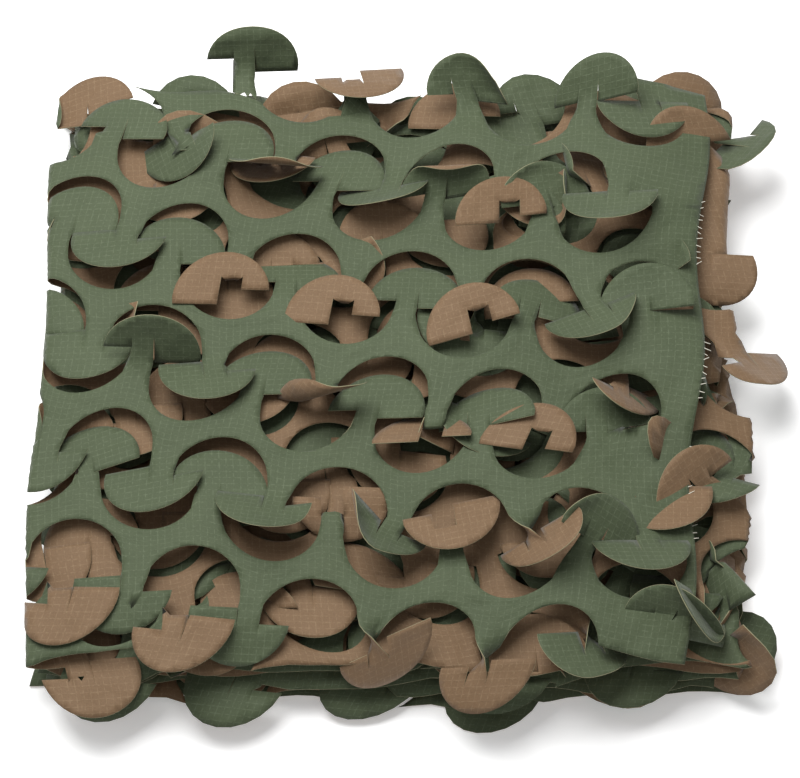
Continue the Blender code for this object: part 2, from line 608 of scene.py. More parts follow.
@dataclass
class NetSheet:
    """The whole cut sheet: flat pattern, leaves, and the mesh laid on its folds."""

    stack: FoldedStack = field(default_factory=FoldedStack)
    die: Die = field(default_factory=Die)
    weave: Weave = field(default_factory=Weave)
    thickness: float = 0.5 * MM
    opening: float = 0.0125
    back_margin: float = 0.028
    short_end: float = 0.032
    end_wave: float = 0.007
    end_margin: float = 0.004
    neck_margin: tuple[float, float] = (0.004, 0.002)
    stem_spare: float = 0.002
    # share of leaves that point back and are left uncut: on the run under the top one, and lower
    upper_ties: float = 0.14
    lower_ties: float = 0.30
    seed: int = 7

    def __post_init__(self) -> None:
        self.sheet_length = self.stack.length() - self.short_end
        self.low = np.array([self.stack.selvedge - self.sheet_length, self.stack.front])
        self.high = np.array([self.stack.selvedge, self.stack.back + self.back_margin])
        self.rng = np.random.default_rng(self.seed)
        self.leaves = self.find_leaves()
        for leaf in self.leaves:
            leaf.pose = Pose(cut=not self.is_tie(leaf))
        self.cut_leaves = {(leaf.side, leaf.column, leaf.row) for leaf in self.leaves if leaf.pose.cut}

    def is_tie(self, leaf: Leaf) -> bool:
        """Tells whether a leaf's place is left whole, which ties the cloth on both sides of its row.

        Args:
            leaf: The leaf.

        Returns:
            True where nothing is cut.
        """
        if leaf.centre[0] + self.die.radius > self.high[0] + self.end_margin:
            return True
        if leaf.centre[0] - self.die.radius < self.low[0] - self.end_margin:
            return True
        if leaf.side is Side.FRONT or leaf.neck[1] + self.die.radius > self.high[1] - 0.006:
            return False
        place = leaf.neck[None]
        run = int(self.stack.place(self.along(place[:, 0]), place[:, 1])[1][0])
        if run == self.stack.top:
            return False
        rng = np.random.default_rng([abs(leaf.column), leaf.row + ROW_SEED, self.seed])
        return bool(rng.random() < (self.upper_ties if run == self.stack.top - 1 else self.lower_ties))

    def along(self, flat_x: np.ndarray) -> np.ndarray:
        """Distance from the free end.

        Args:
            flat_x: Flat X.

        Returns:
            Distances along the sheet.
        """
        return self.stack.selvedge - flat_x

    def find_leaves(self) -> list[Leaf]:
        """Leaves whose necks lie on the sheet.

        Returns:
            The leaves.
        """
        found = []
        columns = int(self.sheet_length / self.die.step) + 12
        margin = np.array(self.neck_margin)
        for row in range(-6, 26):
            for column in range(-columns, 9):
                for side in Side:
                    leaf = self.die.leaf(side, column, row)
                    past_back = np.array([0.0, BACK_LEAF_REACH if (column, row) == BACK_LEAF else 0.0])
                    above, below = leaf.neck > self.low + margin, leaf.neck < self.high - margin + past_back
                    if np.all(above) and np.all(below):
                        found.append(leaf)
        return found

    def fine(self, flat: np.ndarray) -> np.ndarray:
        """Tells which flat points lie on the runs that show most.

        Args:
            flat: Flat points.

        Returns:
            A flag for each.
        """
        return self.along(flat[:, 0]) < self.weave.fine_length

    def cuts(self) -> tuple[list[np.ndarray], list[bool]]:
        """Every line drawn in the flat pattern.

        Returns:
            Lines as rows of flat points, and whether each is cut through.
        """
        lines, through = [], []
        for leaf in self.leaves:
            steps = self.weave.arc_show if self.fine(leaf.neck[None])[0] else self.weave.arc_hidden
            arc = self.die.arc(leaf, steps)
            cut = leaf.pose.cut
            lines.append(np.array(arc))
            through.append(cut)
            sign = leaf.side.value
            half = self.die.neck_half
            for corner, side, level in ((arc[0], -1, leaf.left_level), (arc[-1], 1, leaf.right_level)):
                inner = np.array([leaf.neck[0] + sign * side * half, level])
                lines.append(np.array([corner, inner]))
                through.append(cut)
                end = np.array([inner[0], leaf.neck[1] + sign * self.die.hinge])
                lines.append(np.array([inner, end]))
                through.append(cut)
        for leaf in self.edge_leaves():
            for side in (-1, 1):
                foot = leaf.neck + side * np.array([self.die.neck_half + self.stem_spare, 0.0])
                lines.append(np.array([foot, foot - np.array([0.0, leaf.side.value * self.die.stem])]))
                through.append(False)
        return lines, through

    def edge_leaves(self) -> list[Leaf]:
        """Leaves whose stems reach past the cloth's long ends.

        Returns:
            The leaves.
        """
        found = []
        for leaf in self.leaves:
            front, back = self.end_lines(leaf.neck[:1])
            if leaf.pose.cut and not front[0] < leaf.neck[1] < back[0]:
                found.append(leaf)
        return found

    def border(self) -> list[np.ndarray]:
        """The sheet's four straight edges, in short steps.

        Returns:
            Lines as rows of flat points.
        """
        (x0, y0), (x1, y1) = self.low, self.high
        across = np.linspace(y0, y1, self.weave.end_steps)
        return [
            self.long_line(x0, x1, 0),
            self.long_line(x0, x1, 1),
            np.stack([np.full_like(across, x0), across], axis=1),
            np.stack([np.full_like(across, x1), across], axis=1),
        ]

    def long_line(self, x0: float, x1: float, which: int) -> np.ndarray:
        """One long edge of the sheet.

        Args:
            x0: Start.
            x1: End.
            which: 0 for the front end, 1 for the back end.

        Returns:
            Flat points.
        """
        weave = self.weave
        near = np.arange(x1, x1 - weave.fine_edge_length, -weave.edge_show)
        far = np.arange(near[-1] - weave.edge_hidden, x0, -weave.edge_hidden)
        places = np.concatenate([near, far, [x0]])
        return np.stack([places, self.end_lines(places)[which]], axis=1)

    def scatter(self, taken: np.ndarray) -> np.ndarray:
        """Loose points that fill the pattern, clear of its lines.

        Args:
            taken: Points on the lines.

        Returns:
            Flat points.
        """
        made = []
        weave = self.weave
        change = self.high[0] - weave.fine_length
        for low_x, high_x, gap in ((self.low[0], change, weave.hidden), (change, self.high[0], weave.show)):
            xs = np.arange(low_x, high_x, gap)
            low_y, high_y = self.low[1] - weave.past_edges, self.high[1] + weave.past_edges
            ys = np.arange(low_y, high_y, gap * weave.row_gap)
            grid_x, grid_y = np.meshgrid(xs, ys)
            grid_x = grid_x + np.where(np.arange(len(ys)) % 2, gap / 2, 0.0)[:, None]
            points = np.stack([grid_x.ravel(), grid_y.ravel()], axis=1)
            points += self.rng.uniform(-weave.jitter, weave.jitter, points.shape) * gap
            made.append(self.clear_of(points, taken, gap * weave.clear))
        return np.concatenate(made)

    @staticmethod
    def clear_of(points: np.ndarray, taken: np.ndarray, gap: float) -> np.ndarray:
        """Drops points that lie too near to others.

        Args:
            points: Points to thin.
            taken: Points to keep away from.
            gap: Least distance.

        Returns:
            The points that stay.
        """
        used: dict[tuple[int, int], list[np.ndarray]] = {}
        for place in taken:
            used.setdefault((int(place[0] // gap), int(place[1] // gap)), []).append(place)
        kept = []
        for point in points:
            a, b = int(point[0] // gap), int(point[1] // gap)
            near = (
                other
                for i in (a - 1, a, a + 1)
                for j in (b - 1, b, b + 1)
                for other in used.get((i, j), ())
            )
            if all((point[0] - o[0]) ** 2 + (point[1] - o[1]) ** 2 > gap * gap for o in near):
                kept.append(point)
        return np.array(kept)

    def triangulate(self) -> tuple[np.ndarray, np.ndarray, list[tuple[int, int]]]:
        """Meshes the flat pattern.

        Returns:
            Flat points, triangles, and the edges that are cut through.
        """
        lines, through = self.cuts()
        lines = lines + self.border()
        through = through + [False] * 4
        points: list[np.ndarray] = []
        edges: list[tuple[int, int]] = []
        flags: list[bool] = []
        dense = []
        for line, flag in zip(lines, through):
            base = len(points)
            points.extend(line)
            edges.extend((base + n, base + n + 1) for n in range(len(line) - 1))
            flags.extend([flag] * (len(line) - 1))
            for a, b in zip(line, line[1:]):
                parts = max(1, int(np.linalg.norm(b - a) / self.weave.on_lines))
                dense.extend(a + (b - a) * n / parts for n in range(parts + 1))
        loose = self.scatter(np.array(dense))
        everything = [Vector(p) for p in points] + [Vector(p) for p in loose]
        result = delaunay_2d_cdt(everything, edges, [], 0, MERGE, True)
        flat = np.array([tuple(v) for v in result[0]])
        faces = np.array([f for f in result[2]])
        cut = [
            tuple(edge)
            for edge, origins in zip(result[1], result[4])
            if any(o < len(flags) and flags[o] for o in origins)
        ]
        return flat, faces, cut

    def zones(self, middles: np.ndarray) -> tuple[np.ndarray, np.ndarray]:
        """Sorts triangles into web, leaves and waste.

        Args:
            middles: Middle of each triangle, flat.

        Returns:
            Leaf number of each triangle, -1 for the web, and a flag for waste.
        """
        zone = np.full(len(middles), -1)
        for number, leaf in enumerate(self.leaves):
            near = np.flatnonzero(np.abs(middles - leaf.centre).max(axis=1) < self.die.radius)
            if len(near) and leaf.pose.cut:
                zone[near[self.die.in_cap(leaf, middles[near])]] = number
        front, back = self.end_lines(middles[:, 0])
        outside = (middles[:, 1] < front) | (middles[:, 1] > back)
        for leaf in self.edge_leaves():
            local = leaf.local(middles)
            width = self.die.neck_half + self.stem_spare
            stem = (local[:, 1] > -self.die.stem) & (local[:, 1] < 6.0 * MM)
            outside &= ~((np.abs(local[:, 0]) < width) & stem)
        end = (middles[:, 0] < self.low[0]) | (middles[:, 0] > self.high[0])
        return zone, (outside & (zone < 0)) | end

    def end_lines(self, flat_x: np.ndarray) -> tuple[np.ndarray, np.ndarray]:
        """The cloth's two long cut ends, which wander a little.

        Args:
            flat_x: Flat X.

        Returns:
            Flat Y of the front end and of the back end.
        """
        wave = self.end_wave
        front = self.low[1] + wave * (1.0 + Ripple(91, 0.10)(flat_x, np.zeros_like(flat_x)))
        back = self.high[1] - wave * (1.0 + Ripple(92, 0.12)(flat_x, np.zeros_like(flat_x)))
        return front, back

    def bend_table(self, pose: Pose) -> tuple[np.ndarray, ...]:
        """The leaf's middle line, from the root of its stem to past its tip.

        Args:
            pose: How it bends.

        Returns:
            Distances ahead along the cloth, their places ahead and out of the cloth, and their slopes.
        """
        ahead = np.linspace(-self.die.stem, PAST_TIP, TABLE_STEPS)
        share = (ahead + self.die.stem) / (self.die.stem + self.die.slit)
        slope = math.radians(pose.bend) * smooth(share)
        after = np.maximum(ahead - self.die.slit, 0.0) / self.die.radius
        slope = slope + math.radians(pose.cap_bend) * after
        fold = (ahead - pose.fold_at) / FOLD_LENGTH
        slope = slope + math.radians(pose.flip) * smooth(fold)
        step = ahead[1] - ahead[0]
        middle = (slope[1:] + slope[:-1]) / 2
        place = np.concatenate([[0.0], np.cumsum(np.cos(middle)) * step]) - self.die.stem
        out = np.concatenate([[0.0], np.cumsum(np.sin(middle)) * step])
        return ahead, place, out, slope

    def bent(self, pose: Pose, local: np.ndarray, ear: np.ndarray) -> np.ndarray:
        """Bends flat points of one leaf.

        Args:
            pose: How it bends.
            local: Sideways and ahead distances.
            ear: Flags for points beside the slits, which follow the cap.

        Returns:
            Sideways, ahead and outward distances.
        """
        table, place, out, slope = self.bend_table(pose)
        side, ahead = local[:, 0].copy(), local[:, 1]
        hinge = self.die.hinge
        held = np.where(ear, np.maximum(ahead, hinge), ahead)
        at, up = np.interp(held, table, place), np.interp(held, table, out)
        angle = np.interp(held, table, slope)
        back = ahead - held
        at, up = at + back * np.cos(angle), up + back * np.sin(angle)
        share = smooth((ahead + self.die.stem) / (self.die.stem + self.die.slit))
        share = np.where(ear | (ahead > self.die.slit), 1.0, share)
        lift = np.zeros_like(side)
        if pose.curl_radius:
            turn = math.radians(pose.curl_heading)
            reach = side * math.cos(turn) + (ahead - self.die.slit) * math.sin(turn) - pose.curl_start
            past = np.maximum(reach, 0.0) * share
            roll = np.minimum(past / abs(pose.curl_radius), MOST_ROLL)
            drawn = past - abs(pose.curl_radius) * np.sin(roll)
            lift = pose.curl_radius * (1.0 - np.cos(roll))
            side = side - drawn * math.cos(turn)
            at = at - drawn * math.sin(turn) * np.cos(angle)
            up = up - drawn * math.sin(turn) * np.sin(angle)
        at, up = at - lift * np.sin(angle), up + lift * np.cos(angle)
        twist = math.radians(pose.twist) * share
        side, up = side * np.cos(twist), up + side * np.sin(twist)
        lean = math.radians(pose.lean) * share
        from_root = at + self.die.stem
        turned = side * np.cos(lean) - from_root * np.sin(lean)
        at = side * np.sin(lean) + from_root * np.cos(lean) - self.die.stem
        return np.stack([turned, at, up], axis=1)

    def gaped(self, flat: np.ndarray, web: np.ndarray) -> np.ndarray:
        """Pulls the web open across its cuts: up beside caps that point back, down beside the others.

        Args:
            flat: Flat points.
            web: Flags for the points that move.

        Returns:
            Distances along flat Y.
        """
        nearest = {side: np.full(len(flat), GAPE_REACH) for side in Side}
        for leaf in self.leaves:
            if not leaf.pose.cut:
                continue
            near = np.flatnonzero(np.abs(flat - leaf.centre).max(axis=1) < NEAR_CAP)
            gap = np.linalg.norm(flat[near] - leaf.centre, axis=1) - self.die.radius
            gap = np.maximum(gap, 0.0)
            held = nearest[leaf.side]
            behind = (flat[near, 1] - leaf.centre[1]) * leaf.side.value < -GAPE_BEHIND
            gap = np.where(behind, np.maximum(gap, GAPE_HELD), gap)
            held[near] = np.minimum(held[near], gap)
        back, front = nearest[Side.BACK], nearest[Side.FRONT]
        pull = (front - back) / np.maximum(front + back, LEAST_GAP)
        return np.where(web, self.opening / 2 * pull, 0.0)

    def split(self) -> tuple[np.ndarray, np.ndarray, np.ndarray]:
        """Cuts the flat mesh along the die's lines.

        Returns:
            Flat points, triangles, and each triangle's leaf number.
        """
        flat, faces, cut = self.triangulate()
        middles = flat[faces].mean(axis=1)
        zone, waste = self.zones(middles)
        faces, zone = faces[~waste], zone[~waste]
        shape = bmesh.new()
        corners = [shape.verts.new((x, y, 0.0)) for x, y in flat]
        mark = shape.faces.layers.int.new("leaf")
        for face, number in zip(faces, zone):
            made = shape.faces.new([corners[n] for n in face])
            made[mark] = int(number)
        shape.verts.index_update()
        through = {frozenset(edge) for edge in cut}
        severed = [e for e in shape.edges if frozenset(v.index for v in e.verts) in through]
        bmesh.ops.split_edges(shape, edges=severed)
        loose = [v for v in shape.verts if not v.link_faces]
        bmesh.ops.delete(shape, geom=loose, context="VERTS")
        shape.verts.index_update()
        points = np.array([v.co[:2] for v in shape.verts])
        triangles = np.array([[v.index for v in f.verts] for f in shape.faces])
        labels = np.array([f[mark] for f in shape.faces])
        shape.free()
        upward = np.cross(points[triangles[:, 1]] - points[triangles[:, 0]],
                          points[triangles[:, 2]] - points[triangles[:, 0]]) > 0
        triangles = np.where(upward[:, None], triangles, triangles[:, ::-1])
        return points, triangles, labels

    def lay(self) -> tuple[np.ndarray, np.ndarray, np.ndarray]:
        """Bends every leaf and lays the whole sheet on its folds.

        Returns:
            Points, triangles, and the flat points.
        """
        flat, faces, labels = self.split()
        zone = np.full(len(flat), -1)
        zone[faces.ravel()] = np.repeat(labels, 3)
        middle = np.zeros_like(flat)
        count = np.zeros(len(flat))
        middles = flat[faces].mean(axis=1)
        for corner in range(3):
            np.add.at(middle, faces[:, corner], middles)
            np.add.at(count, faces[:, corner], 1.0)
        middle /= np.maximum(count, 1.0)[:, None]
        lift = self.gaped(flat, zone < 0)
        world, _ = self.stack.place(self.along(flat[:, 0]), flat[:, 1] + lift)
        stem_back = np.array([0.0, self.die.stem])
        roots = np.array([leaf.neck - leaf.side.value * stem_back for leaf in self.leaves])
        root_lift = self.gaped(roots, np.ones(len(roots), bool))
        placed = roots + np.stack([np.zeros(len(roots)), root_lift], axis=1)
        base, runs = self.stack.place(self.along(placed[:, 0]), placed[:, 1])
        to_end, to_back, out = self.stack.frame(self.along(placed[:, 0]), placed[:, 1])
        for number, leaf in enumerate(self.leaves):
            sign = leaf.side.value
            near = np.flatnonzero(np.abs(flat - leaf.neck).max(axis=1) < NEAR_NECK)
            local = leaf.local(flat[near])
            cap = zone[near] == number
            behind = np.clip(-local[:, 1], 0.0, self.die.radius * ALMOST)
            flare = self.die.step / 2 - np.sqrt(self.die.radius**2 - behind**2) + self.stem_spare
            stem = (zone[near] < 0) & (np.abs(local[:, 0]) < flare)
            stem &= (local[:, 1] > -self.die.stem) & (local[:, 1] < STEM_END)
            chosen = cap | stem
            near, local, cap = near[chosen], local[chosen], cap[chosen]
            if not len(near) or not leaf.pose.cut:
                continue
            seen = leaf.local(middle[near])
            ear = cap & (np.abs(seen[:, 0]) > self.die.neck_half) & (local[:, 1] < self.die.hinge)
            run, start = int(runs[number]), base[number]
            bent = self.bent(self.pose(leaf, run, start, out[number]), local, ear)
            ease = smooth((local[:, 1] + self.die.stem) / (self.die.stem / 2))[:, None]
            moved = leaf.neck + sign * bent[:, :2]
            shift = lift[near] + (root_lift[number] - lift[near]) * ease[:, 0]
            shift = np.where(cap, root_lift[number], shift)
            moved[:, 1] += shift
            on_cloth, _ = self.stack.place(self.along(moved[:, 0]), moved[:, 1])
            on_cloth += bent[:, 2:] * out[number]
            ahead = bent[:, 1:2] + self.die.stem
            free = start + sign * bent[:, :1] * to_end[number] + sign * ahead * to_back[number]
            free += bent[:, 2:] * out[number]
            share = ease * self.freedom(leaf, run, start)
            world[near] = on_cloth * (1 - share) + free * share
        world[:, 2] = np.maximum(world[:, 2], FLOOR_GAP)
        return world, faces, flat

    def is_held(self, leaf: Leaf) -> bool:
        """Tells whether the cloth beside a leaf's stem is whole, which keeps the stem flat.

        Args:
            leaf: The leaf.

        Returns:
            True where a neighbour across the stem isn't cut.
        """
        other = Side.FRONT if leaf.side is Side.BACK else Side.BACK
        first = leaf.column - 1 if leaf.side is Side.BACK else leaf.column
        beside = [(other, first, leaf.row), (other, first + 1, leaf.row)]
        return not all(key in self.cut_leaves for key in beside)

    def freedom(self, leaf: Leaf, run: int, place: np.ndarray) -> float:
        """How far a leaf leaves the curve of its own run.

        Args:
            leaf: The leaf.
            run: Its run.
            place: Where its stem starts.

        Returns:
            0 for a leaf that stays on the cloth's curve, 1 for a free one.
        """
        edge = min(leaf.neck[1] - self.low[1], self.high[1] - leaf.neck[1])
        return eased(place[0], FREE_FROM, FREE_OVER) if run >= FREE_RUN or edge < FREE_EDGE else 0.0

    def pose(self, leaf: Leaf, run: int, place: np.ndarray, out: np.ndarray) -> Pose:
        """Chooses how a leaf bends, by its run and place.

        Args:
            leaf: The leaf.
            run: Its run.
            place: Where its stem starts.
            out: The green face's direction there.

        Returns:
            The pose, signed for the green face.
        """
        chosen = POSES.get((leaf.side.name[0], leaf.column, leaf.row))
        made = chosen or self.loose_pose(leaf, run, place)
        if self.is_held(leaf) and place[1] + LEAF_REACH * leaf.side.value < self.high[1]:
            lean = float(np.clip(made.lean, -HELD_LEAN, HELD_LEAN))
            made = Pose(bend=made.bend * HELD_BEND, cap_bend=made.cap_bend, lean=lean)
        up = 1.0 if out[2] >= 0 else -1.0
        from_left = eased(place[0], BEND_FROM, BEND_OVER)
        gentle = up if chosen else up * (LEFT_BEND + (1.0 - LEFT_BEND) * from_left)
        return replace(
            made,
            bend=made.bend * gentle,
            cap_bend=made.cap_bend * gentle,
            flip=made.flip * up,
            twist=made.twist * up,
            curl_radius=made.curl_radius * up,
        )

    def loose_pose(self, leaf: Leaf, run: int, place: np.ndarray) -> Pose:
        """Draws a pose by chance.

        Args:
            leaf: The leaf.
            run: Its run.
            place: Where its stem starts.

        Returns:
            The pose, upwards positive.
        """
        seeds = [abs(leaf.column), leaf.row + ROW_SEED, leaf.side.value + SIDE_SEED, self.seed]
        rng = np.random.default_rng(seeds)
        draw = rng.normal(size=8)
        x, y = float(place[0]), float(place[1])
        loose = max(eased(x, LOOSE_X, LOOSE_OVER_X), eased(y, LOOSE_Y, LOOSE_OVER_Y))
        back = leaf.side is Side.BACK
        tip_y = y + LEAF_REACH * leaf.side.value
        if abs(tip_y) > EDGE_Y:
            return self.edge_pose(draw, run, tip_y > 0)
        if x > RIGHT_X:
            return self.side_pose(draw)
        turned = TURNED_OVER if loose > LOOSE_ENOUGH and draw[1] > 0.55 else 0.0
        if run == self.stack.top:
            bend = -14.0 + 5.0 * draw[0] if back else 24.0 + 9.0 * draw[0]
            bend += loose * 30.0 * draw[1]
        elif run == self.stack.top - 1:
            bend = 3.0 + (7.0 + 24.0 * loose) * draw[0]
        else:
            return Pose(bend=2.5 * draw[0], cap_bend=3.0 * draw[1], lean=4.0 * draw[2])
        curl = 0.011 + 0.02 * abs(draw[5]) if draw[6] > 0.4 - loose else 0.0
        return Pose(
            bend=bend,
            cap_bend=12.0 * draw[2] * (0.5 + loose),
            twist=(5.0 + 14.0 * loose) * draw[3] + turned,
            lean=(4.0 + 16.0 * loose) * draw[4],
            curl_heading=float(rng.choice(CURL_HEADINGS)) + 15.0 * draw[7],
            curl_start=0.012,
            curl_radius=curl,
        )

    @staticmethod
    def side_pose(draw: np.ndarray) -> Pose:
        """Draws a pose for a leaf that sticks out on the right.

        Args:
            draw: Chance numbers.

        Returns:
            The pose, upwards positive.
        """
        return Pose(
            bend=4.0 + 26.0 * draw[0],
            cap_bend=22.0 * draw[1],
            twist=34.0 * draw[2] + (150.0 if draw[3] > 0.9 else 0.0),
            lean=20.0 * draw[4],
            curl_heading=90.0 + 70.0 * draw[5],
            curl_start=0.008,
            curl_radius=(0.010 + 0.008 * abs(draw[6])) * (1 if draw[7] > 0 else -1),
        )

    def edge_pose(self, draw: np.ndarray, run: int, at_back: bool) -> Pose:
        """Draws a pose for a leaf that leaves the bundle.

        Args:
            draw: Chance numbers.
            run: Its run.
            at_back: True at the back, False at the front.

        Returns:
            The pose, upwards positive.
        """
        bend = (30.0 + 25.0 * draw[0]) if at_back else (-30.0 + 18.0 * draw[0])
        bend *= 0.3 + 0.7 * run / self.stack.top
        return Pose(
            bend=float(np.clip(bend, -75.0, 95.0)),
            cap_bend=20.0 * draw[1] - (0.0 if at_back else 15.0),
            twist=10.0 * draw[2],
            lean=10.0 * draw[3],
            curl_heading=90.0 + 50.0 * draw[4],
            curl_start=0.012,
            curl_radius=0.014 * (1 if draw[5] > 0 else -1) if abs(draw[6]) > 0.8 else 0.0,
        )


# How the leaves that show most lie, by the way they point (B back, F front), column and row.
# Here columns from -1 up are on the top run, and the others on the run under it.
POSES: dict[tuple[str, int, int], Pose] = {
    ("B", 0, 0): Pose(bend=-15, cap_bend=-6, twist=-3, lean=4),
    ("F", 0, 0): Pose(bend=48, cap_bend=40, twist=4, curl_heading=90, curl_start=0.012, curl_radius=0.016),
    ("B", 1, 0): Pose(bend=-13, cap_bend=8, twist=5, lean=-3),
    ("F", 1, 0): Pose(bend=34, cap_bend=22, twist=-10),
    ("B", 2, 0): Pose(bend=38, cap_bend=70, twist=12, curl_heading=80, curl_start=0.004, curl_radius=0.014),
    ("F", 2, 0): Pose(bend=26, flip=150, twist=12, lean=10,
                     curl_heading=150, curl_start=0.010, curl_radius=-0.020),
    ("B", 3, 0): Pose(bend=12, cap_bend=24, twist=-20, lean=14, curl_heading=120, curl_start=0.008,
                     curl_radius=0.014),
    ("F", 3, 0): Pose(bend=34, cap_bend=34, twist=-24, lean=14, curl_heading=30, curl_start=0.006,
                     curl_radius=0.013),
    ("B", -1, 0): Pose(bend=-10, cap_bend=14, twist=6, lean=-8),
    ("F", -1, 1): Pose(bend=19, cap_bend=6, lean=6, twist=3),
    ("B", 0, 1): Pose(bend=-6, cap_bend=-4),
    ("F", 0, 1): Pose(bend=5, flip=169, cap_bend=4),
    ("B", 1, 1): Pose(bend=-22, cap_bend=-20),
    ("F", 1, 1): Pose(bend=7, flip=166, twist=-4, lean=-8, cap_bend=6),
    ("B", 2, 1): Pose(bend=-13, cap_bend=6, lean=-4),
    ("F", 2, 1): Pose(bend=18, flip=150, twist=-8, lean=10),
    ("B", 3, 1): Pose(bend=-22, cap_bend=-14, twist=-12, lean=-10),
    ("F", 3, 1): Pose(bend=30, cap_bend=14, lean=16, twist=-10, curl_heading=150, curl_start=0.014,
                     curl_radius=0.012),
    ("B", 0, 2): Pose(bend=58, cap_bend=16, twist=-6),
    ("F", 0, 2): Pose(bend=22, cap_bend=6, lean=8, twist=5),
    ("B", 1, 2): Pose(bend=-8, cap_bend=-6, lean=4),
    ("F", 1, 2): Pose(bend=60, cap_bend=50, twist=-14, lean=12,
                     curl_heading=40, curl_start=0.006, curl_radius=0.012),
    ("B", 2, 2): Pose(bend=-12, cap_bend=5, twist=4),
    ("F", 2, 2): Pose(bend=8, flip=-150),
    ("B", 3, 2): Pose(bend=-20, cap_bend=-16, twist=10, lean=6),
    ("F", 3, 2): Pose(bend=24, flip=150, twist=-10, lean=-12),
    ("B", 4, 2): Pose(bend=26, cap_bend=20, twist=150, lean=14),
    ("B", 0, 3): Pose(bend=-14, cap_bend=6, lean=20, twist=-6),
    ("F", 0, 3): Pose(bend=14, cap_bend=5, lean=10),
    ("B", 1, 3): Pose(bend=-7, cap_bend=-4),
    ("F", 1, 3): Pose(bend=34, cap_bend=8, lean=-4, curl_heading=180, curl_start=0.018, curl_radius=0.010),
    ("B", 2, 3): Pose(bend=-12, flip=-150),
    ("F", 2, 3): Pose(bend=36, cap_bend=16, lean=-16, twist=22, curl_heading=20, curl_start=0.010,
                     curl_radius=0.015),
    ("B", 3, 3): Pose(bend=14, flip=152, twist=-8, lean=12),
    ("B", 0, 4): Pose(bend=7, flip=172, fold_at=-0.009, lean=-6),
    ("B", 1, 4): Pose(bend=7, flip=172, fold_at=-0.009, lean=-8),
    ("F", 0, 4): Pose(bend=-4, cap_bend=-10),
    ("F", 1, 4): Pose(bend=-16, cap_bend=-20),
    ("B", 0, -1): Pose(bend=70, cap_bend=34, twist=4),
    ("B", 1, -1): Pose(bend=40, flip=118, fold_at=0.004, twist=-8, lean=8),
    ("B", 2, -1): Pose(bend=44, cap_bend=50, twist=-12, lean=14, curl_heading=20, curl_start=0.006,
                      curl_radius=0.016),
    ("F", 2, 4): Pose(bend=-46, cap_bend=-30, twist=156, lean=20),
    ("F", 3, 4): Pose(bend=-14, cap_bend=-16, twist=168, lean=-6),
    ("B", 4, 3): Pose(bend=30, cap_bend=-20, twist=-30, lean=-22, curl_heading=140, curl_start=0.010,
                     curl_radius=0.014),
    ("B", 3, 4): Pose(bend=14, cap_bend=24, twist=160, lean=10),
    ("F", 3, 3): Pose(bend=30, cap_bend=30, twist=150, lean=16),
    ("B", 4, 1): Pose(bend=18, cap_bend=34, twist=-34, lean=20, curl_heading=60, curl_start=0.006,
                     curl_radius=0.012),
    ("B", 3, -1): Pose(bend=52, cap_bend=-8, twist=20, lean=-8),
    ("F", 3, -1): Pose(bend=46, cap_bend=-30, twist=-150, lean=14),
    ("B", -7, 2): Pose(bend=40, cap_bend=-10, twist=6, lean=-12),
    ("B", -6, 5): Pose(bend=34, cap_bend=-22, twist=-10, lean=-40),
    ("B", -2, 4): Pose(bend=6),
}


# Column and row of the leaf that stands up past the back edge
BACK_LEAF = (0, -1)
BACK_LEAF_REACH = 0.020


class Kind(Enum):
    """Faces of the cloth, in the order of its material slots."""

    FACE = 0
    BACK = 1
    EDGE = 2


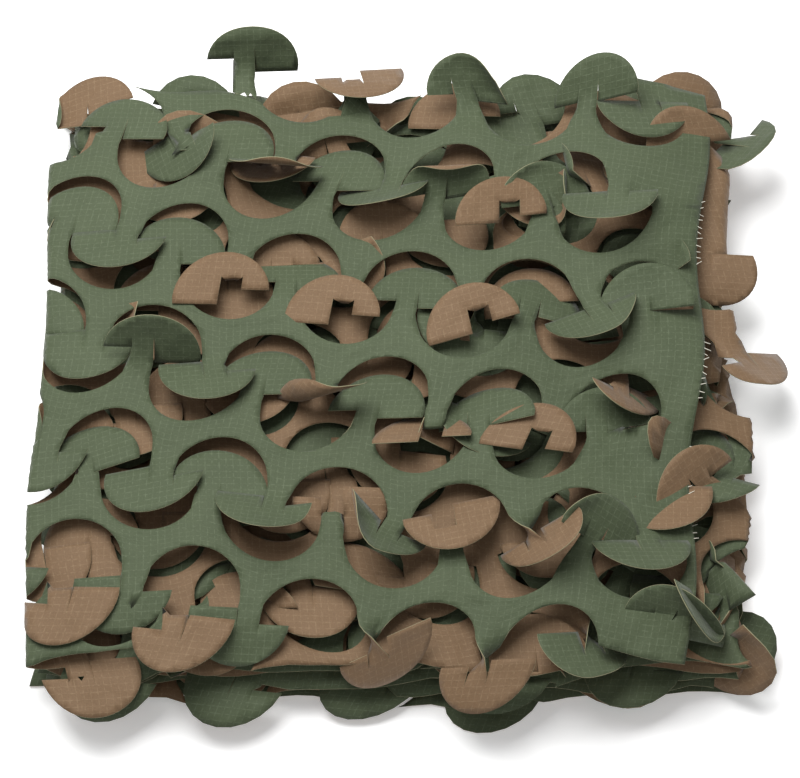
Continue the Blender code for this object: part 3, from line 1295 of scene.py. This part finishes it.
@dataclass(frozen=True)
class Ripstop:
    """Coated ripstop nylon, printed matt on both sides.

    Woven in fine yarn with a thicker yarn every 5 mm both ways, which stands a little proud and
    takes less print, so it reads as a faint pale grid.
    """

    name: str
    colour: str
    yarn_colour: str
    worn_colour: str
    grid: float = 5.0 * MM
    yarn: float = 0.55 * MM
    roughness: float = 0.72

    def material(self) -> bpy.types.Material:
        """Makes the material.

        Returns:
            The material.
        """
        made = bpy.data.materials.new(self.name)
        made.use_nodes = True
        tree = made.node_tree
        surface = tree.nodes["Principled BSDF"]
        flat = node(tree, "ShaderNodeUVMap", {"uv_map": "cloth"})
        metres = node(tree, "ShaderNodeVectorMath", {"operation": "SCALE"}, {0: (flat, 0), 3: UV_SPAN})
        parts = node(tree, "ShaderNodeSeparateXYZ", {}, {0: (metres, 0)})
        lines = [self.yarn_line(tree, (parts, axis)) for axis in (0, 1)]
        grid = node(tree, "ShaderNodeMath", {"operation": "MAXIMUM"}, {0: (lines[0], 0), 1: (lines[1], 0)})
        broken = noise(tree, metres, 420.0, 2.0)
        patchy = node(tree, "ShaderNodeMapRange", {}, {0: (broken, 0), 1: 0.44, 2: 0.62, 3: 0.12, 4: 1.0})
        shown = node(tree, "ShaderNodeMath", {"operation": "MULTIPLY"}, {0: (grid, 0), 1: (patchy, 0)})
        fade = noise(tree, metres, 22.0, 3.0)
        worn = node(tree, "ShaderNodeMapRange", {}, {0: (fade, 0), 1: 0.35, 2: 0.7, 3: 0.0, 4: 0.6})
        base = mix_colour(tree, (worn, 0), linear(self.colour), linear(self.worn_colour))
        fine = noise(tree, metres, 900.0, 2.0)
        mottle = node(tree, "ShaderNodeMapRange", {}, {0: (fine, 0), 1: 0.3, 2: 0.7, 3: 0.90, 4: 1.10})
        shade = node(tree, "ShaderNodeVectorMath", {"operation": "SCALE"}, {0: (base, 2), 3: (mottle, 0)})
        soft = node(tree, "ShaderNodeMath", {"operation": "MULTIPLY"}, {0: (shown, 0), 1: 0.34})
        ruled = mix_colour(tree, (soft, 0), (shade, 0), linear(self.yarn_colour))
        tree.links.new(ruled.outputs[2], surface.inputs["Base Color"])
        slack = noise(tree, metres, 24.0, 2.0)
        soft_slack = node(tree, "ShaderNodeBump", {},
                          {"Strength": 0.55, "Distance": 9.0 * MM, "Height": (slack, 0)})
        crease = noise(tree, metres, 75.0, 3.0)
        soft_crease = node(tree, "ShaderNodeBump", {},
                           {"Strength": 0.45, "Distance": 2.4 * MM, "Height": (crease, 0),
                            "Normal": (soft_slack, 0)})
        raised = node(tree, "ShaderNodeBump", {},
                      {"Strength": 0.35, "Distance": 0.25 * MM, "Height": (grid, 0),
                       "Normal": (soft_crease, 0)})
        tree.links.new(raised.outputs[0], surface.inputs["Normal"])
        surface.inputs["Roughness"].default_value = self.roughness
        surface.inputs["Specular IOR Level"].default_value = 0.35
        surface.inputs["Sheen Weight"].default_value = 0.12
        surface.inputs["Sheen Roughness"].default_value = 0.5
        return made

    def yarn_line(self, tree: bpy.types.NodeTree, place: tuple[bpy.types.Node, int]) -> bpy.types.Node:
        """One set of thick yarns, as a soft line every grid step.

        Args:
            tree: Node tree.
            place: Distance across the yarns, in metres.

        Returns:
            Node that gives 1 on a yarn and 0 between.
        """
        steps = node(tree, "ShaderNodeMath", {"operation": "DIVIDE"}, {0: place, 1: self.grid})
        saw = node(tree, "ShaderNodeMath", {"operation": "PINGPONG"}, {0: (steps, 0), 1: 0.5})
        width = self.yarn / self.grid / 2
        return node(tree, "ShaderNodeMapRange", {}, {0: (saw, 0), 1: 0.0, 2: width * 2.0, 3: 1.0, 4: 0.0})


@dataclass(frozen=True)
class Plain:
    """A plain matt surface."""

    name: str
    colour: str
    roughness: float
    glow: float = 0.0

    def material(self) -> bpy.types.Material:
        """Makes the material.

        Returns:
            The material.
        """
        made = bpy.data.materials.new(self.name)
        made.use_nodes = True
        surface = made.node_tree.nodes["Principled BSDF"]
        surface.inputs["Base Color"].default_value = linear(self.colour)
        surface.inputs["Roughness"].default_value = self.roughness
        surface.inputs["Emission Color"].default_value = linear(self.colour)
        surface.inputs["Emission Strength"].default_value = self.glow
        return made


UV_SPAN = 5.0
GREEN = Ripstop("ripstop_green", "#434D35", "#78836A", "#4C563D")
BROWN = Ripstop("ripstop_brown", "#6E563D", "#A08A6C", "#786047")
EDGE = Plain("cut_edge", "#8E8A6C", 0.85)
THREAD = Plain("selvedge_thread", "#D9D5C6", 0.8)
FLOOR = Plain("lit_table", "#FFFFFF", 0.9, glow=0.22)


def node(
    tree: bpy.types.NodeTree,
    kind: str,
    settings: dict | None = None,
    inputs: dict | None = None,
) -> bpy.types.Node:
    """Adds a shader node with its settings and inputs.

    Args:
        tree: Node tree.
        kind: Node type.
        settings: Attributes to set.
        inputs: Input to a value, or to a node and the number of its output.

    Returns:
        The node.
    """
    made = tree.nodes.new(kind)
    for key, value in (settings or {}).items():
        setattr(made, key, value)
    for key, value in (inputs or {}).items():
        if isinstance(value, tuple) and isinstance(value[0], bpy.types.Node):
            tree.links.new(value[0].outputs[value[1]], made.inputs[key])
        else:
            made.inputs[key].default_value = value
    return made


def noise(tree: bpy.types.NodeTree, vector: bpy.types.Node, scale: float, detail: float) -> bpy.types.Node:
    """Adds soft noise.

    Args:
        tree: Node tree.
        vector: Node that gives the place in metres.
        scale: Waves per metre.
        detail: Octaves.

    Returns:
        The noise node.
    """
    return node(tree, "ShaderNodeTexNoise", {}, {"Vector": (vector, 0), "Scale": scale, "Detail": detail})


def mix_colour(tree: bpy.types.NodeTree, share: tuple, first: object, second: object) -> bpy.types.Node:
    """Mixes two colours.

    Args:
        tree: Node tree.
        share: Node and output that give the share of the second.
        first: Colour, or node and output.
        second: Colour, or node and output.

    Returns:
        The mixing node, whose colour is its output 2.
    """
    return node(tree, "ShaderNodeMix", {"data_type": "RGBA"}, {0: share, 6: first, 7: second})


@dataclass
class NetModel:
    """The finished cloth and the loose threads on its free end."""

    sheet: NetSheet = field(default_factory=NetSheet)
    thread_step: float = 5.0 * MM
    thread_radius: float = 0.32 * MM
    # stretches of the free end that have lost their outer yarns, along Y
    frays: tuple[tuple[float, float], ...] = ((0.095, 0.150), (-0.015, 0.035), (-0.120, -0.045))

    def cloth(self) -> bpy.types.Object:
        """Builds the cut and folded sheet.

        Returns:
            The cloth.
        """
        world, faces, flat = self.sheet.lay()
        world, faces, flat = self.joined(world, faces, flat)
        mesh = bpy.data.meshes.new("camouflage_net")
        mesh.from_pydata(world.tolist(), [], faces.tolist())
        mesh.update()
        layer = mesh.uv_layers.new(name="cloth")
        corners = np.zeros(len(mesh.loops), dtype=np.int32)
        mesh.loops.foreach_get("vertex_index", corners)
        layer.data.foreach_set("uv", ((flat[corners] - self.sheet.low) / UV_SPAN).ravel())
        for finish in (GREEN, BROWN, EDGE):
            mesh.materials.append(finish.material())
        mesh.shade_smooth()
        cloth = bpy.data.objects.new("camouflage_net", mesh)
        bpy.context.collection.objects.link(cloth)
        solid = cloth.modifiers.new("thickness", "SOLIDIFY")
        solid.thickness = self.sheet.thickness
        solid.offset = 0.0
        solid.material_offset = Kind.BACK.value
        solid.material_offset_rim = Kind.EDGE.value
        return cloth

    @staticmethod
    def joined(world: np.ndarray, faces: np.ndarray, flat: np.ndarray) -> tuple[np.ndarray, ...]:
        """Keeps only the cloth that hangs together.

        Args:
            world: Laid points.
            faces: Triangles.
            flat: Flat points.

        Returns:
            The points, triangles and flat points of the largest connected part.
        """
        group = np.arange(len(world))
        while True:
            least = group[faces].min(axis=1)
            fresh = group.copy()
            for corner in range(3):
                np.minimum.at(fresh, faces[:, corner], least)
            fresh = fresh[fresh]
            if np.array_equal(fresh, group):
                break
            group = fresh
        names, counts = np.unique(group[faces[:, 0]], return_counts=True)
        log.info("cloth parts: %d, largest %d of %d", len(names), counts.max(), counts.sum())
        kept = faces[group[faces[:, 0]] == names[counts.argmax()]]
        used, renumbered = np.unique(kept, return_inverse=True)
        return world[used], renumbered.reshape(kept.shape), flat[used]

    def threads(self) -> bpy.types.Object:
        """Builds the loose yarn ends along the free end.

        Returns:
            The threads.
        """
        rng = np.random.default_rng(self.sheet.seed + 1)
        shape = bmesh.new()
        for front, back in self.frays:
            for across in np.arange(front, back, self.thread_step):
                place = np.array([across + rng.uniform(-0.4, 0.4) * MM])
                along = np.array([0.6 * MM])
                start, _ = self.sheet.stack.place(along, place)
                to_end, to_back, out = self.sheet.stack.frame(along, place)
                reach = to_end[0] + to_back[0] * rng.uniform(-0.7, 0.7) + out[0] * rng.uniform(-0.1, 0.6)
                reach = reach / np.linalg.norm(reach) * rng.uniform(2.5, 5.5) * MM
                self.thread(shape, Vector(start[0]), Vector(reach))
        mesh = bpy.data.meshes.new("selvedge_threads")
        shape.to_mesh(mesh)
        shape.free()
        mesh.materials.append(THREAD.material())
        made = bpy.data.objects.new("selvedge_threads", mesh)
        bpy.context.collection.objects.link(made)
        return made

    def thread(self, shape: bmesh.types.BMesh, start: Vector, reach: Vector) -> None:
        """Adds one yarn end.

        Args:
            shape: Mesh to add to.
            start: Where it leaves the cloth.
            reach: From there to its tip.
        """
        turn = reach.to_track_quat("Z", "Y").to_matrix().to_4x4()
        turn.translation = start + reach / 2
        bmesh.ops.create_cone(
            shape,
            cap_ends=True,
            segments=5,
            radius1=self.thread_radius,
            radius2=self.thread_radius * 0.6,
            depth=reach.length,
            matrix=turn,
        )


@dataclass(frozen=True)
class Studio:
    """White table, one broad soft light from above, and the camera."""

    floor_half: float = 3.0
    floor_drop: float = 0.4 * MM
    lens: float = 120.0
    distance: float = 1.92
    elevation: float = 65.0
    target: tuple[float, float, float] = (-0.009, 0.0, 0.06)
    light_height: float = 1.6
    light_size: float = 1.1
    light_power: float = 38.0
    light_place: tuple[float, float] = (-0.35, 0.55)
    sky: float = 0.42

    def build(self) -> None:
        """Makes the table, light, sky and camera."""
        self.floor()
        self.light()
        self.camera()
        world = bpy.data.worlds.new("studio")
        world.use_nodes = True
        sky = world.node_tree.nodes["Background"]
        sky.inputs["Color"].default_value = (1.0, 1.0, 1.0, 1.0)
        sky.inputs["Strength"].default_value = self.sky
        bpy.context.scene.world = world
        bpy.context.scene.view_settings.view_transform = "Standard"

    def floor(self) -> None:
        """Makes the table top."""
        half = self.floor_half
        mesh = bpy.data.meshes.new("table")
        square = ((-half, -half), (half, -half), (half, half), (-half, half))
        corners = [(x, y, -self.floor_drop) for x, y in square]
        mesh.from_pydata(corners, [], [(0, 1, 2, 3)])
        mesh.materials.append(FLOOR.material())
        table = bpy.data.objects.new("table", mesh)
        bpy.context.collection.objects.link(table)

    def light(self) -> None:
        """Makes the soft light."""
        lamp = bpy.data.lights.new("softbox", "AREA")
        lamp.shape = "SQUARE"
        lamp.size = self.light_size
        lamp.energy = self.light_power
        made = bpy.data.objects.new("softbox", lamp)
        made.location = (*self.light_place, self.light_height)
        aim = Vector(self.target) - made.location
        made.rotation_euler = aim.to_track_quat("-Z", "Y").to_euler()
        bpy.context.collection.objects.link(made)

    def camera(self) -> None:
        """Makes the camera."""
        rise = math.radians(self.elevation)
        target = Vector(self.target)
        back = Vector((0.0, -math.cos(rise), math.sin(rise)))
        data = bpy.data.cameras.new("camera")
        data.lens = self.lens
        made = bpy.data.objects.new("camera", data)
        made.location = target + back * self.distance
        made.rotation_euler = (-back).to_track_quat("-Z", "Y").to_euler()
        bpy.context.collection.objects.link(made)
        bpy.context.scene.camera = made


def main() -> None:
    """Builds the net over its solid."""
    logging.basicConfig(level=logging.INFO, format="%(message)s")
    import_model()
    model = NetModel()
    cloth = model.cloth()
    threads = model.threads()
    for piece in (cloth, threads):
        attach(piece, "root")
        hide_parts("net")
    Studio().build()


if __name__ == "__main__":
    main()
